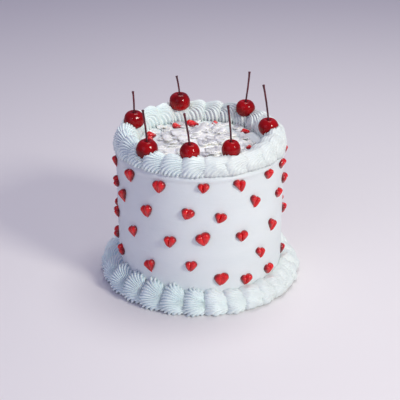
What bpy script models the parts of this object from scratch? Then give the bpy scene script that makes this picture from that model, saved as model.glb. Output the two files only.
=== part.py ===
"""A tall drum cake in white cream: two piped shell borders, piped hearts, shavings and stemmed cherries.

Metres, +Z up. The cake stands on z = 0 and its front faces -Y. A bearing is in degrees from the front,
growing towards +X. The borders were piped in the direction of growing bearings.
"""

import math
import random

import bmesh
import bpy
from mathutils import Matrix, Vector

# Drum: cake layers under a smooth coat of cream.
DRUM_RADIUS = 0.084
DRUM_HEIGHT = 0.141
DRUM_EDGE = 0.004
DRUM_SIDES = 60

# Left between neighbouring pieces, so that each stays a solid of its own.
GAP = 0.00035

# Piped shells. Each ring is one run of piping: a shell's full head falls to a tail under the next one.
COLUMNS_PER_SHELL = 8
SHELL_HEAD = 0.22
SHELL_CREASE = 0.17
SHELL_TAIL_DROP = 0.10
FLUTES_PER_SHELL = 4
FLUTE_DEPTH = 0.0005

# Foot border, round the lower edge of the side.
FOOT_SHELLS = 29
FOOT_REACH = 0.0195
FOOT_BELLY = 0.0085
FOOT_RISE = 0.0185
FOOT_UNDERCUT = 0.0035
FOOT_BEARING = -13.6
FOOT_STRETCH = 4.2
FOOT_LONGEST = -45.0
FOOT_SAG = 0.44
FOOT_SAG_FROM = -30.0
FOOT_SAG_FULL = 26.0

# Crown border, on the rim of the top and a little over it.
CROWN_SHELLS = 25
CROWN_CENTRE = 0.0745
CROWN_INWARD = 0.0130
CROWN_OUTWARD = 0.0115
CROWN_RISE = 0.0187
CROWN_OVERHANG = 4.0
CROWN_LIP = 0.0009
CROWN_BEARING = -12.0
CROWN_DIP = 0.20
CROWN_DIP_FULL = 30.0
CROWN_DIP_END = 75.0

# Piped hearts, each two drops of cream that meet in a point.
HEART_WIDTH = 0.0130
HEART_LENGTH = 0.0122
HEART_HEIGHT = 0.0036
HEART_ROOT = 0.0008

# Hearts in view on the side: height of the row, then bearing and lift of each heart from that height.
SIDE_HEARTS = (
    (0.1295, ((-77, 0), (-52, -1), (-27, -3), (2, 0), (26, -1), (50, 1), (70, 1))),
    (0.102, ((-75, 6), (-62, 0), (-37, -4), (-8, 0), (13, -4), (38, 6), (64, 1), (78, 8))),
    (0.073, ((-77, 1), (-50, -3), (-20, -2), (2, 3), (28, 2), (56, 1), (85, 0))),
    (
        0.045,
        ((-85, -1), (-68, -8), (-35, -5), (-6, 2), (14, -13.5), (32, -18.5), (44, 5), (53, -18.5), (85, -18.5)),
    ),
)
# The rows go on round the back at this spacing.
BACK_ROW_STEP = 25.7
BACK_ROW_FIRST = (96, 109, 104, 116)

# Hearts lying on the top, inside the crown: distance from the middle, bearing, turn of the point, size.
TOP_HEARTS = (
    (0.0500, -151, 80, 0.78),
    (0.0505, -171, 110, 1.00),
    (0.0535, 163, 70, 0.70),
    (0.0535, 121, 95, 0.74),
    (0.0510, 72, 60, 0.62),
    (0.0525, -110, 120, 0.90),
    (0.0510, -94, 60, 0.88),
)

# Cherries pressed into the crown: name, distance from the middle, bearing, height of the middle, width,
# height of the fruit, then the stem's lean to +X, its lean to -Y and its rise.
CHERRIES = (
    ("back_left", 0.0690, -162, 0.1612, 0.0218, 0.0182, -0.0030, -0.0010, 0.0205),
    ("left", 0.0685, -105, 0.1585, 0.0205, 0.0176, -0.0004, 0.0010, 0.0232),
    ("front_left", 0.0730, -43, 0.1545, 0.0208, 0.0190, -0.0030, 0.0015, 0.0325),
    ("front", 0.0680, -8, 0.1578, 0.0188, 0.0170, -0.0050, 0.0020, 0.0318),
    ("front_right", 0.0685, 25, 0.1582, 0.0178, 0.0176, -0.0034, 0.0010, 0.0366),
    ("right", 0.0675, 88, 0.1582, 0.0200, 0.0168, -0.0058, -0.0010, 0.0366),
    ("back_right", 0.0705, 138, 0.1585, 0.0200, 0.0166, 0.0034, 0.0010, 0.0330),
)
CHERRY_SIDES = 12
STEM_RADIUS = 0.00085
STEM_BEND = 0.0004

# Heap of white shavings in the middle of the top.
HEAP_RADIUS = 0.0415
HEAP_HEIGHT = 0.0042
HEAP_SIDES = 16
SHAVING_COUNT = 26
SHAVING_LENGTH = 0.0095
SHAVING_WIDTH = 0.0056
SHAVING_THICKNESS = 0.0012

COLLECTION_NAME = "Black forest cake"


def at(distance, bearing, height):
    """A point at this distance from the axis, bearing in degrees and height."""
    angle = math.radians(bearing)
    return Vector((distance * math.sin(angle), -distance * math.cos(angle), height))


def smooth(x):
    x = min(max(x, 0.0), 1.0)
    return x * x * (3.0 - 2.0 * x)


def make_material(name, colour, roughness):
    material = bpy.data.materials.new(name)
    material.use_nodes = True
    shader = material.node_tree.nodes["Principled BSDF"]
    shader.inputs["Base Color"].default_value = (*colour, 1.0)
    shader.inputs["Roughness"].default_value = roughness
    shader.inputs["Metallic"].default_value = 0.0
    return material


def make_object(name, points, faces, collection, material=None, edges=()):
    mesh = bpy.data.meshes.new(name)
    mesh.from_pydata([tuple(p) for p in points], edges, faces)
    if faces:
        shell = bmesh.new()
        shell.from_mesh(mesh)
        bmesh.ops.recalc_face_normals(shell, faces=shell.faces)
        shell.to_mesh(mesh)
        shell.free()
    made = bpy.data.objects.new(name, mesh)
    collection.objects.link(made)
    if material:
        mesh.materials.append(material)
    return made


def apply_modifiers(made):
    """Replaces the object's mesh by what its modifiers make of it."""
    graph = bpy.context.evaluated_depsgraph_get()
    mesh = bpy.data.meshes.new_from_object(made.evaluated_get(graph))
    made.modifiers.clear()
    made.data = mesh


def lathe(name, profile, sides, collection, material=None):
    """A profile of (radius, height) points, from the top down the outside to the bottom, turned about Z."""
    points = [(radius, 0.0, height) for radius, height in profile]
    edges = [(index, index + 1) for index in range(len(points) - 1)]
    made = make_object(name, points, [], collection, material, edges)
    turn = made.modifiers.new("Turn", "SCREW")
    turn.steps = sides
    turn.render_steps = sides
    turn.use_merge_vertices = True
    turn.merge_threshold = 0.00001
    turn.use_smooth_shade = True
    apply_modifiers(made)
    return made


def join_pieces(body, pieces):
    """Unites the body with everything in the collection, then removes the collection and its objects."""
    union = body.modifiers.new("Join", "BOOLEAN")
    union.operation = "UNION"
    union.operand_type = "COLLECTION"
    union.collection = pieces
    union.solver = "EXACT"
    apply_modifiers(body)
    for piece in list(pieces.objects):
        bpy.data.objects.remove(piece, do_unlink=True)
    bpy.data.collections.remove(pieces)


def new_pieces(name):
    pieces = bpy.data.collections.new(name)
    bpy.context.scene.collection.children.link(pieces)
    return pieces


def drum_profile():
    corner = [
        (
            DRUM_RADIUS - DRUM_EDGE * (1.0 - math.sin(math.radians(a))),
            DRUM_HEIGHT - DRUM_EDGE * (1.0 - math.cos(math.radians(a))),
        )
        for a in (0, 30, 60, 90)
    ]
    return [(0.0, DRUM_HEIGHT)] + corner + [(DRUM_RADIUS, 0.0), (0.0, 0.0)]


def heart_outline():
    """The heart's edge as (across, along) points, the point of the heart downwards."""
    right = (
        (0.00, 0.30),
        (0.22, 0.50),
        (0.46, 0.36),
        (0.47, 0.08),
        (0.27, -0.24),
    )
    left = tuple((-x, y) for x, y in reversed(right[1:]))
    return right + ((0.00, -0.50),) + left


def heart_shape(size, tilt):
    """Points and faces of one heart, lying on the plane z = 0 with its root below it."""
    outline = heart_outline()
    count = len(outline)
    turn = Matrix.Rotation(math.radians(tilt), 3, "Z")
    points = []
    for height, share in ((-HEART_ROOT, 0.94), (0.42 * HEART_HEIGHT, 1.0)):
        for x, y in outline:
            points.append((x * HEART_WIDTH * share, y * HEART_LENGTH * share, height))
    points.append((0.24 * HEART_WIDTH, 0.16 * HEART_LENGTH, HEART_HEIGHT))
    points.append((-0.24 * HEART_WIDTH, 0.16 * HEART_LENGTH, HEART_HEIGHT))
    points.append((0.0, -0.06 * HEART_LENGTH, 0.62 * HEART_HEIGHT))
    right_top, left_top, valley = 2 * count, 2 * count + 1, 2 * count + 2
    faces = [tuple(range(count))]
    for i in range(count):
        j = (i + 1) % count
        faces.append((i, i + count, j + count, j))
    half = count // 2
    for i in range(half):
        faces.append((right_top, count + i + 1, count + i))
        faces.append((left_top, count + (half + i + 1) % count, count + half + i))
    faces.append((right_top, valley, count + half))
    faces.append((right_top, count, valley))
    faces.append((left_top, valley, count))
    faces.append((left_top, count + half, valley))
    scaled = [turn @ (Vector(p) * size) for p in points]
    return scaled, faces


def side_heart_places():
    """(height, bearing, size, tilt) of each heart on the side."""
    rng = random.Random(11)
    places = []
    for height, hearts in SIDE_HEARTS:
        for bearing, lift in hearts:
            places.append((height + lift / 1000.0, bearing, 0.90 + 0.16 * rng.random(), rng.uniform(-16, 16)))
    for (height, _), first in zip(SIDE_HEARTS, BACK_ROW_FIRST):
        bearing = first
        while bearing < 266:
            lift = rng.uniform(-0.003, 0.001)
            places.append((height + lift, bearing, 0.90 + 0.16 * rng.random(), rng.uniform(-16, 16)))
            bearing += BACK_ROW_STEP + rng.uniform(-1.5, 1.5)
    return places


def build_cake(collection, material):
    cake = lathe("cake", drum_profile(), DRUM_SIDES, collection, material)
    pieces = new_pieces("Hearts")
    for number, (height, bearing, size, tilt) in enumerate(side_heart_places()):
        points, faces = heart_shape(size, tilt)
        wrapped = [
            at(DRUM_RADIUS + p.z, bearing + math.degrees(p.x / DRUM_RADIUS), height + p.y) for p in points
        ]
        make_object(f"side heart {number}", wrapped, faces, pieces)
    for number, (distance, bearing, tilt, size) in enumerate(TOP_HEARTS):
        points, faces = heart_shape(size, tilt)
        middle = at(distance, bearing, DRUM_HEIGHT)
        make_object(f"top heart {number}", [middle + p for p in points], faces, pieces)
    join_pieces(cake, pieces)
    return cake


def shell_swell(u):
    """How full a shell is along its length, u from 0 at the head to 1 at the tail."""
    return 1.0 - SHELL_CREASE * (1.0 - smooth(u / SHELL_HEAD)) - SHELL_TAIL_DROP * u**1.6


def flute(u, v):
    """Ridge relief of the piping, -1 to 1. The ridges fan out at both feet, v = 1 and v = -1."""
    foot = abs(v)
    across = foot - 0.5 * foot * foot
    return math.cos(2.0 * math.pi * (FLUTES_PER_SHELL * (across + u * smooth((foot - 0.1) / 0.7)) + 0.5))


def ring_points(shells, first_bearing, stretch, section, seed):
    """Points of a border, section by section. section(u, size, bearing) gives (radius, height) points.

    Shells are longest near FOOT_LONGEST and opposite it, by a stretch in degrees.
    """
    rng = random.Random(seed)
    sizes = [rng.uniform(0.965, 1.035) for _ in range(shells)]
    step = 360.0 / shells
    rows = []
    for shell in range(shells):
        for column in range(COLUMNS_PER_SHELL):
            u = column / COLUMNS_PER_SHELL
            even = first_bearing + (shell + u) * step
            bearing = even + stretch * math.sin(math.radians(2.0 * (even - FOOT_LONGEST)))
            rows.append([at(r, bearing, z) for r, z in section(u, shell_swell(u) * sizes[shell], bearing)])
    return rows


def foot_sag(bearing):
    """The share by which the foot border is lower here: it sinks along the right of the front."""
    turned = (bearing + 180.0) % 360.0 - 180.0
    sunk = smooth((turned - FOOT_SAG_FROM) / (FOOT_SAG_FULL - FOOT_SAG_FROM))
    return FOOT_SAG * sunk * (1.0 - smooth((turned - 98.0) / 22.0))


def foot_section(u, size, bearing):
    """The foot border's outline at u: up the inner wall, over the outside and back to the wall's foot."""
    wall = DRUM_RADIUS + GAP
    full_rise = FOOT_RISE * (1.0 - foot_sag(bearing))
    outline = [(wall, 0.0)]
    for angle in (90, 70, 48, 25, 0):
        relief = FLUTE_DEPTH * flute(u, angle / 90.0)
        reach = size * FOOT_REACH + relief
        rise = size * full_rise + relief
        a = math.radians(angle)
        outline.append((wall + reach * math.cos(a), FOOT_BELLY + rise * math.sin(a)))
    for angle in (45, 90):
        relief = FLUTE_DEPTH * flute(u, -angle / 90.0)
        a = math.radians(angle)
        reach = size * FOOT_REACH - FOOT_UNDERCUT * (1.0 - math.cos(a)) + relief
        outline.append((wall + reach, FOOT_BELLY * (1.0 - math.sin(a))))
    return outline


def crown_dip(bearing):
    """The share by which the crown border is lower here: in front, where the cherries press it."""
    turned = abs((bearing + 180.0) % 360.0 - 180.0)
    return CROWN_DIP * smooth((CROWN_DIP_END - turned) / (CROWN_DIP_END - CROWN_DIP_FULL))


def crown_section(u, size, bearing):
    """The crown border's outline at u: from the inner foot over the crest to the edge that hangs outside."""
    base = DRUM_HEIGHT + GAP
    full_rise = CROWN_RISE * (1.0 - crown_dip(bearing))
    outline = []
    for angle in (180, 148, 118, 88, 56, 24, -CROWN_OVERHANG):
        v = (angle - 90.0) / (90.0 if angle > 90 else 90.0 + CROWN_OVERHANG)
        relief = FLUTE_DEPTH * flute(u, v)
        a = math.radians(angle)
        across = (CROWN_INWARD if angle > 90 else CROWN_OUTWARD) * size + relief
        rise = full_rise * size + (relief if angle < 180 else 0.0)
        outline.append((CROWN_CENTRE + across * math.cos(a), base + rise * math.sin(a)))
    outline[0] = (outline[0][0], base)
    lip = outline.pop()
    outline.append((max(lip[0], DRUM_RADIUS + CROWN_LIP), lip[1]))
    outline.append((DRUM_RADIUS - 0.5 * DRUM_EDGE, base))
    return outline


def ring_object(name, rows, collection, material):
    """Joins closed outlines into a ring: a loft, since each outline differs from the next."""
    around, count = len(rows), len(rows[0])
    points = [point for row in rows for point in row]
    faces = []
    for i in range(around):
        k = (i + 1) % around
        for j in range(count):
            m = (j + 1) % count
            faces.append((i * count + j, i * count + m, k * count + m, k * count + j))
    made = make_object(name, points, faces, collection, material)
    for polygon in made.data.polygons:
        polygon.use_smooth = True
    return made


def cherry_profile(width, height):
    """A squat fruit with a dimple for its stem, about its own middle."""
    dimple = ((0.0, 0.80), (0.15, 0.80), (0.28, 0.95))
    body = ((0.58, 0.97), (0.88, 0.62), (1.0, 0.10), (0.88, -0.52), (0.50, -0.90), (0.0, -1.0))
    return [(width / 2.0 * r, height / 2.0 * z) for r, z in dimple + body]


def socket_profile(width, height):
    """The room that a cherry needs in the cream: its lower half, and straight up from its widest place."""
    wide, half = width / 2.0 + 1.15 * GAP, height / 2.0
    sides = ((1.0, 1.4), (1.0, 0.10), (0.88, -0.52), (0.50, -0.90))
    return [(0.0, 1.4 * half)] + [(wide * r, half * z - (GAP if z < 0.0 else 0.0)) for r, z in sides] + [
        (0.0, -half - 1.2 * GAP)
    ]


def build_cherries(collection, cutters, fruit, stalk):
    for name, distance, bearing, middle, width, height, lean_x, lean_y, rise in CHERRIES:
        centre = at(distance, bearing, middle)
        cherry = lathe(f"cherry_{name}", cherry_profile(width, height), CHERRY_SIDES, collection, fruit)
        cherry.data.transform(Matrix.Translation(centre))
        socket = lathe(f"socket {name}", socket_profile(width, height), CHERRY_SIDES, cutters)
        socket.data.transform(Matrix.Translation(centre))
        socket.hide_render = True
        socket.display_type = "WIRE"
        start = centre + Vector((0.0, 0.0, 0.4 * height + GAP + 0.0001))
        tip = start + Vector((lean_x, -lean_y, rise))
        build_stem(f"stem_{name}", start, tip, collection, stalk)


def build_stem(name, start, tip, collection, material):
    """A thin bent stem, thicker at its foot and where it was cut."""
    curve = bpy.data.curves.new(name, "CURVE")
    curve.dimensions = "3D"
    curve.bevel_depth = STEM_RADIUS
    curve.bevel_resolution = 1
    curve.use_fill_caps = True
    spline = curve.splines.new("POLY")
    shares = (0.0, 0.12, 0.4, 0.72, 0.93, 1.0)
    thickness = (1.0, 0.95, 0.88, 0.95, 1.1, 1.25)
    spline.points.add(len(shares) - 1)
    for point, share, thick in zip(spline.points, shares, thickness):
        place = start.lerp(tip, share) + Vector((STEM_BEND * math.sin(math.pi * share), 0.0, 0.0))
        point.co = (*place, 1.0)
        point.radius = thick
    stem = bpy.data.objects.new(name, curve)
    collection.objects.link(stem)
    curve.materials.append(material)
    return stem


def shaving_shape(length, width, thickness):
    """A thin slip of white shaving, wider at one end."""
    points = []
    for level in (-0.5, 0.5):
        for x, taper in ((-0.5, 0.65), (0.5, 1.0)):
            for y in (-0.5, 0.5):
                points.append(Vector((x * length, y * width * taper, level * thickness)))
    faces = [(0, 1, 3, 2), (4, 6, 7, 5), (0, 4, 5, 1), (2, 3, 7, 6), (0, 2, 6, 4), (1, 5, 7, 3)]
    return points, faces


def build_shavings(collection, material):
    base = DRUM_HEIGHT + GAP
    profile = [
        (0.0, base + HEAP_HEIGHT),
        (0.45 * HEAP_RADIUS, base + 0.86 * HEAP_HEIGHT),
        (0.80 * HEAP_RADIUS, base + 0.50 * HEAP_HEIGHT),
        (HEAP_RADIUS, base + 0.0006),
        (HEAP_RADIUS - 0.0004, base),
        (0.0, base),
    ]
    heap = lathe("shavings", profile, HEAP_SIDES, collection, material)
    pieces = new_pieces("Slips")
    rng = random.Random(5)
    for number in range(SHAVING_COUNT):
        share = math.sqrt((number + 0.5) / SHAVING_COUNT)
        distance = 0.88 * HEAP_RADIUS * share
        bearing = number * 137.508
        lift = HEAP_HEIGHT * (1.0 - 0.75 * share * share) + rng.uniform(0.0002, 0.0014)
        size = rng.uniform(0.75, 1.15)
        points, faces = shaving_shape(SHAVING_LENGTH * size, SHAVING_WIDTH * size, SHAVING_THICKNESS)
        place = (
            Matrix.Translation(at(distance, bearing, base + lift))
            @ Matrix.Rotation(rng.uniform(0.0, 2.0 * math.pi), 4, "Z")
            @ Matrix.Rotation(rng.uniform(-0.55, 0.55), 4, "Y")
            @ Matrix.Rotation(rng.uniform(-0.45, 0.45), 4, "X")
        )
        placed = [place @ p for p in points]
        lowest = min(p.z for p in placed)
        rise = max(0.0, base + 0.0002 - lowest)
        make_object(f"slip {number}", [p + Vector((0, 0, rise)) for p in placed], faces, pieces)
    join_pieces(heap, pieces)
    return heap


def main():
    for old in list(bpy.data.objects):
        bpy.data.objects.remove(old, do_unlink=True)
    scene = bpy.context.scene
    scene.unit_settings.system = "METRIC"
    scene.unit_settings.scale_length = 1.0
    collection = bpy.data.collections.new(COLLECTION_NAME)
    cutters = bpy.data.collections.new("Cutters")
    scene.collection.children.link(collection)
    scene.collection.children.link(cutters)

    coat = make_material("Smooth cream", (0.80, 0.81, 0.85), 0.55)
    piping = make_material("Piped cream", (0.78, 0.84, 0.88), 0.5)
    white = make_material("White shavings", (0.86, 0.84, 0.78), 0.6)
    fruit = make_material("Cherry", (0.30, 0.008, 0.012), 0.12)
    stalk = make_material("Stem", (0.09, 0.012, 0.018), 0.45)

    build_cake(collection, coat)
    foot = ring_points(FOOT_SHELLS, FOOT_BEARING, FOOT_STRETCH, foot_section, 3)
    ring_object("foot_border", foot, collection, piping)
    crown = ring_points(CROWN_SHELLS, CROWN_BEARING, 0.0, crown_section, 4)
    crown_ring = ring_object("crown_border", crown, collection, piping)
    build_cherries(collection, cutters, fruit, stalk)
    cut = crown_ring.modifiers.new("Sockets", "BOOLEAN")
    cut.operation = "DIFFERENCE"
    cut.operand_type = "COLLECTION"
    cut.collection = cutters
    cut.solver = "EXACT"
    build_shavings(collection, white)


main()
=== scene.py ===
# %% [markdown]
# A tall drum cake in white cream, rebuilt piece by piece around its plain solid model. The solid
# model gives every size and place. Here each plain solid is exchanged for a detailed piece of the
# same form: a smooth coat, two rings of ridged piping, red piped hearts, white shavings and
# stemmed cherries. A bearing is an angle in degrees from the front (-Y), growing towards +X.

# %% Load the frame
import math
import random

import bmesh
import bpy
import numpy as np
from mathutils import Matrix, Vector, noise


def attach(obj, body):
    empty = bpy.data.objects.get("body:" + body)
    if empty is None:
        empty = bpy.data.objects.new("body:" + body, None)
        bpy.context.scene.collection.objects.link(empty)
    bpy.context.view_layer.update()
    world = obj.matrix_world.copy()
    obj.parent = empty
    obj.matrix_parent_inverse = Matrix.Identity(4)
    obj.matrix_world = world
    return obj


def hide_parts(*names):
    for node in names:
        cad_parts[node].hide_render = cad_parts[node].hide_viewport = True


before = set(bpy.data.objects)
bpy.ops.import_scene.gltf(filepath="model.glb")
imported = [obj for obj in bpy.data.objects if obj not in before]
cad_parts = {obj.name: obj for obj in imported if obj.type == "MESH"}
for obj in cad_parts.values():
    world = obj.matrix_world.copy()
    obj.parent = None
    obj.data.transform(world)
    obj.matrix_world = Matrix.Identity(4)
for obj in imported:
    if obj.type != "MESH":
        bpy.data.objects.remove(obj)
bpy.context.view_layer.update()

# %% [markdown]
# The sizes are those of the solid model, in metres and degrees. Keeping them as named values in one
# place means that each detailed piece lands exactly where its plain solid is. Where a border sinks,
# its four bearings say where that starts, where it is full, where it eases and where it ends.

# %% Sizes
MM = 0.001

DRUM_RADIUS = 0.084
DRUM_HEIGHT = 0.141
DRUM_EDGE = 0.004

FOOT_SHELLS = 29
FOOT_REACH = 0.0195
FOOT_BELLY = 0.0085
FOOT_RISE = 0.0185
FOOT_UNDERCUT = 0.0035
FOOT_BEARING = -13.6
FOOT_STRETCH = 4.2
FOOT_LONGEST = -45.0
FOOT_SAG = 0.44
FOOT_SAG_BEARINGS = (-30.0, 26.0, 98.0, 120.0)

CROWN_SHELLS = 25
CROWN_CENTRE = 0.0745
CROWN_INWARD = 0.0130
CROWN_OUTWARD = 0.0115
CROWN_RISE = 0.0187
CROWN_OVERHANG = 4.0
CROWN_BEARING = -12.0
CROWN_DIP = 0.20
CROWN_DIP_BEARINGS = (-75.0, -30.0, 30.0, 75.0)

HEAP_RADIUS = 0.0415
HEAP_HEIGHT = 0.0042


def at(distance, bearing, height):
    """A point at this distance from the axis, bearing in degrees and height."""
    angle = math.radians(bearing)
    return Vector((distance * math.sin(angle), -distance * math.cos(angle), height))


def smooth(x):
    x = min(max(x, 0.0), 1.0)
    return x * x * (3.0 - 2.0 * x)


print("drum", 2 * DRUM_RADIUS, "wide,", DRUM_HEIGHT, "high")


# %% [markdown]
# Two kinds of node tree are built below: finishes, and trees that repeat or bend a mesh. Written
# out node by node they are long, so a few helpers come first. A Flow is what one socket gives out,
# and arithmetic on flows adds math nodes, so that a formula in a tree reads like a formula.

# %% Flows
class Flow:
    """What one output socket gives."""

    def __init__(self, socket):
        self.socket = socket

    def part(self, name):
        """Another output of the same node."""
        return Flow(shown(self.socket.node.outputs, name))

    def __add__(self, other):
        return calculate("ADD", self, other)

    def __sub__(self, other):
        return calculate("SUBTRACT", self, other)

    def __rsub__(self, other):
        return calculate("SUBTRACT", other, self)

    def __mul__(self, other):
        return calculate("MULTIPLY", self, other)

    def __truediv__(self, other):
        return calculate("DIVIDE", self, other)

    def __rtruediv__(self, other):
        return calculate("DIVIDE", other, self)

    def __gt__(self, other):
        return calculate("GREATER_THAN", self, other)

    def __lt__(self, other):
        return calculate("LESS_THAN", self, other)


print("signs that a flow understands: + - * / > <")


# %% Node helpers
def shown(sockets, name=None):
    """The first socket of this name, or of any, that the node shows at its present settings."""
    return next(socket for socket in sockets if socket.enabled and name in (None, socket.name))


def feed(socket, value):
    """Links a flow to an input socket, or sets a plain value there."""
    if isinstance(value, Flow):
        socket.id_data.links.new(value.socket, socket)
    else:
        socket.default_value = value


def calculate(operation, *values):
    """A math node in the tree of its first flow."""
    tree = next(value for value in values if isinstance(value, Flow)).socket.id_data
    node = tree.nodes.new("ShaderNodeMath")
    node.operation = operation
    for socket, value in zip(node.inputs, values):
        feed(socket, value)
    return Flow(node.outputs[0])


def add_node(tree, kind, inputs=None, **settings):
    """A node with these settings and inputs; gives its first shown output."""
    node = tree.nodes.new(kind)
    for name, value in settings.items():
        setattr(node, name, value)
    for name, value in (inputs or {}).items():
        feed(shown(node.inputs, name), value)
    return Flow(shown(node.outputs))


print("node helpers:", shown.__name__, feed.__name__, calculate.__name__, add_node.__name__)

# %% [markdown]
# A finish is a small node tree on the Principled shader. Cream, sugar and fruit differ in four
# things: colour, how much light soaks in and comes out again, how rough the surface is, and how
# fine its bumps are. One helper sets the shader's own sockets, and small ones add bumps, a mottled
# colour and tints that paint shade. The patterns use the object's own coordinates or a value kept on
# the mesh, so that nothing slides when the camera moves.

# %% Helpers for finishes
EVEN = (1.0, 1.0, 1.0)
SOAK = (0.003, 0.002, 0.0015)


def new_finish(
    name, colour, roughness, soak=0.0, soak_radius=SOAK, shine=0.5, coat=0.0, coat_roughness=0.06
):
    finish = bpy.data.materials.new(name)
    finish.use_nodes = True
    values = {
        "Base Color": (*colour, 1.0),
        "Roughness": roughness,
        "Specular IOR Level": shine,
        "Subsurface Weight": soak,
        "Subsurface Radius": soak_radius,
        "Subsurface Scale": 1.0,
        "Coat Weight": coat,
        "Coat Roughness": coat_roughness,
    }
    for socket, value in values.items():
        finish.node_tree.nodes["Principled BSDF"].inputs[socket].default_value = value
    return finish


def own_noise(finish, scale, detail, stretch):
    """A noise texture on the object's own coordinates."""
    tree = finish.node_tree
    place = add_node(tree, "ShaderNodeTexCoord").part("Object")
    mapped = add_node(tree, "ShaderNodeMapping", {"Vector": place, "Scale": stretch})
    values = {"Vector": mapped, "Scale": scale, "Detail": detail}
    return add_node(tree, "ShaderNodeTexNoise", values)


def add_bump(finish, scale, detail, depth, strength, stretch=EVEN):
    """Lays bumps of this depth over those that the finish already has."""
    normal = finish.node_tree.nodes["Principled BSDF"].inputs["Normal"]
    texture = own_noise(finish, scale, detail, stretch)
    values = {"Strength": strength, "Distance": depth, "Height": texture}
    if normal.is_linked:
        values["Normal"] = Flow(normal.links[0].from_socket)
    feed(normal, add_node(finish.node_tree, "ShaderNodeBump", values))


def mottle(finish, scale, detail, dark, light, low=0.35, high=0.65, stretch=EVEN):
    """Blends two colours by a noise texture."""
    tree = finish.node_tree
    texture = own_noise(finish, scale, detail, stretch)
    blend = add_node(tree, "ShaderNodeValToRGB", {"Fac": texture})
    stops = blend.socket.node.color_ramp.elements
    for stop, position, colour in zip(stops, (low, high), (dark, light)):
        stop.position = position
        stop.color = (*colour, 1.0)
    feed(tree.nodes["Principled BSDF"].inputs["Base Color"], blend)


def tint_where(finish, attribute, tint, share):
    """Paints shade: blends the colour towards the tint where the mesh's own attribute is high."""
    tree = finish.node_tree
    colour = tree.nodes["Principled BSDF"].inputs["Base Color"]
    value = add_node(tree, "ShaderNodeAttribute", attribute_name=attribute).part("Fac")
    now = Flow(colour.links[0].from_socket)
    values = {"Factor": value * share, "A": now, "B": (*tint, 1.0)}
    feed(colour, add_node(tree, "ShaderNodeMix", values, data_type="RGBA"))


print("finish helpers:", new_finish.__name__, add_bump.__name__, mottle.__name__, tint_where.__name__)

# %% [markdown]
# The coat is whipped cream drawn flat with a scraper: nearly matt, very pale, faintly lilac in
# shade, with long shallow marks round the drum and fine pores. The piping is the same cream
# straight from the bag, a little cooler in colour. Both let light soak in a millimetre or so,
# which softens the grooves. The grooves get a painted blue shade, deepest on the shaded left, and
# the smeared cream a painted grey shade, most on the lit right.

# %% Cream finishes
LONG_ROUND = (1.0, 1.0, 2.5)
SCRAPER_MARKS = (1.0, 1.0, 6.0)

coat_cream = new_finish(
    "coat_cream", (0.745, 0.81, 0.805), 0.5, soak=0.1, soak_radius=(0.0015, 0.0012, 0.001)
)
mottle(coat_cream, 14.0, 3.0, (0.73, 0.795, 0.79), (0.765, 0.825, 0.82), stretch=LONG_ROUND)
add_bump(coat_cream, 60.0, 4.0, 0.0006, 0.35, SCRAPER_MARKS)
add_bump(coat_cream, 900.0, 2.0, 0.00015, 0.35)

piped_cream = new_finish(
    "piped_cream", (0.83, 0.95, 0.91), 0.42, soak=0.2, soak_radius=(0.0008, 0.0009, 0.001)
)
mottle(piped_cream, 40.0, 3.0, (0.815, 0.935, 0.90), (0.845, 0.955, 0.92))
# Painted shade: blue in the grooves by their stored depth, deepest on the cake's shaded left.
tint_where(piped_cream, "groove", (0.27, 0.50, 0.77), 0.7)
# Painted shade: grey on the smooth smeared shells, which lack the ridges' own shadows.
tint_where(piped_cream, "smeared", (0.62, 0.645, 0.62), 0.8)
add_bump(piped_cream, 700.0, 3.0, 0.0002, 0.4)
print("cream finishes:", coat_cream.name, piped_cream.name)

# %% [markdown]
# The shavings are warmer than the cream. The hearts are dense red cream with a soft gloss, with
# painted shade at their low edges. A cocktail cherry is dark and wet: a deep red body under a clear
# glossy skin. Its stem is dull maroon, dried out, with fibres along it.

# %% Topping finishes
white_shaving = new_finish(
    "white_shaving", (0.95, 0.96, 0.91), 0.45, soak=0.5, soak_radius=(0.0015, 0.0014, 0.0012)
)
mottle(white_shaving, 160.0, 3.0, (0.92, 0.93, 0.88), (0.97, 0.98, 0.93))
add_bump(white_shaving, 900.0, 3.0, 0.0002, 0.5)

heart_red = new_finish(
    "heart_red", (0.66, 0.003, 0.005), 0.35, shine=0.1, coat=0.9, coat_roughness=0.16
)
mottle(heart_red, 200.0, 2.0, (0.62, 0.002, 0.004), (0.80, 0.007, 0.008))
# Painted shade: darker red low on each heart's outer sides, where it meets the coat.
tint_where(heart_red, "rim", (0.14, 0.0003, 0.006), 0.95)
add_bump(heart_red, 500.0, 2.0, 0.0002, 0.4)

cherry_skin = new_finish("cherry_skin", (0.30, 0.001, 0.003), 0.45, shine=0.02, coat=0.45)
mottle(cherry_skin, 55.0, 2.0, (0.16, 0.0006, 0.002), (0.38, 0.002, 0.004), 0.36, 0.62)
add_bump(cherry_skin, 260.0, 2.0, 0.0003, 0.25)

ALONG_THE_STEM = (1.0, 1.0, 0.25)
FIBRES = (1.0, 1.0, 0.2)
stem_bark = new_finish("stem_bark", (0.085, 0.008, 0.016), 0.5)
mottle(
    stem_bark, 300.0, 3.0, (0.05, 0.006, 0.012), (0.14, 0.014, 0.024), stretch=ALONG_THE_STEM
)
add_bump(stem_bark, 1200.0, 2.0, 0.0002, 0.6, FIBRES)
print("topping finishes:", white_shaving.name, heart_red.name, cherry_skin.name, stem_bark.name)


# %% [markdown]
# Every finished piece is a plain mesh at the origin. A few helpers make one from lists of points
# and faces, close it and turn its faces outwards, and bake what a modifier makes into it.

# %% Making a mesh
def show(item):
    bpy.context.scene.collection.objects.link(item)
    return item


def new_piece(name, points, faces, finish):
    mesh = bpy.data.meshes.new(name)
    mesh.from_pydata([tuple(p) for p in points], [], [tuple(f) for f in faces])
    mesh.materials.append(finish)
    return bpy.data.objects.new(name, mesh)


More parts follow.
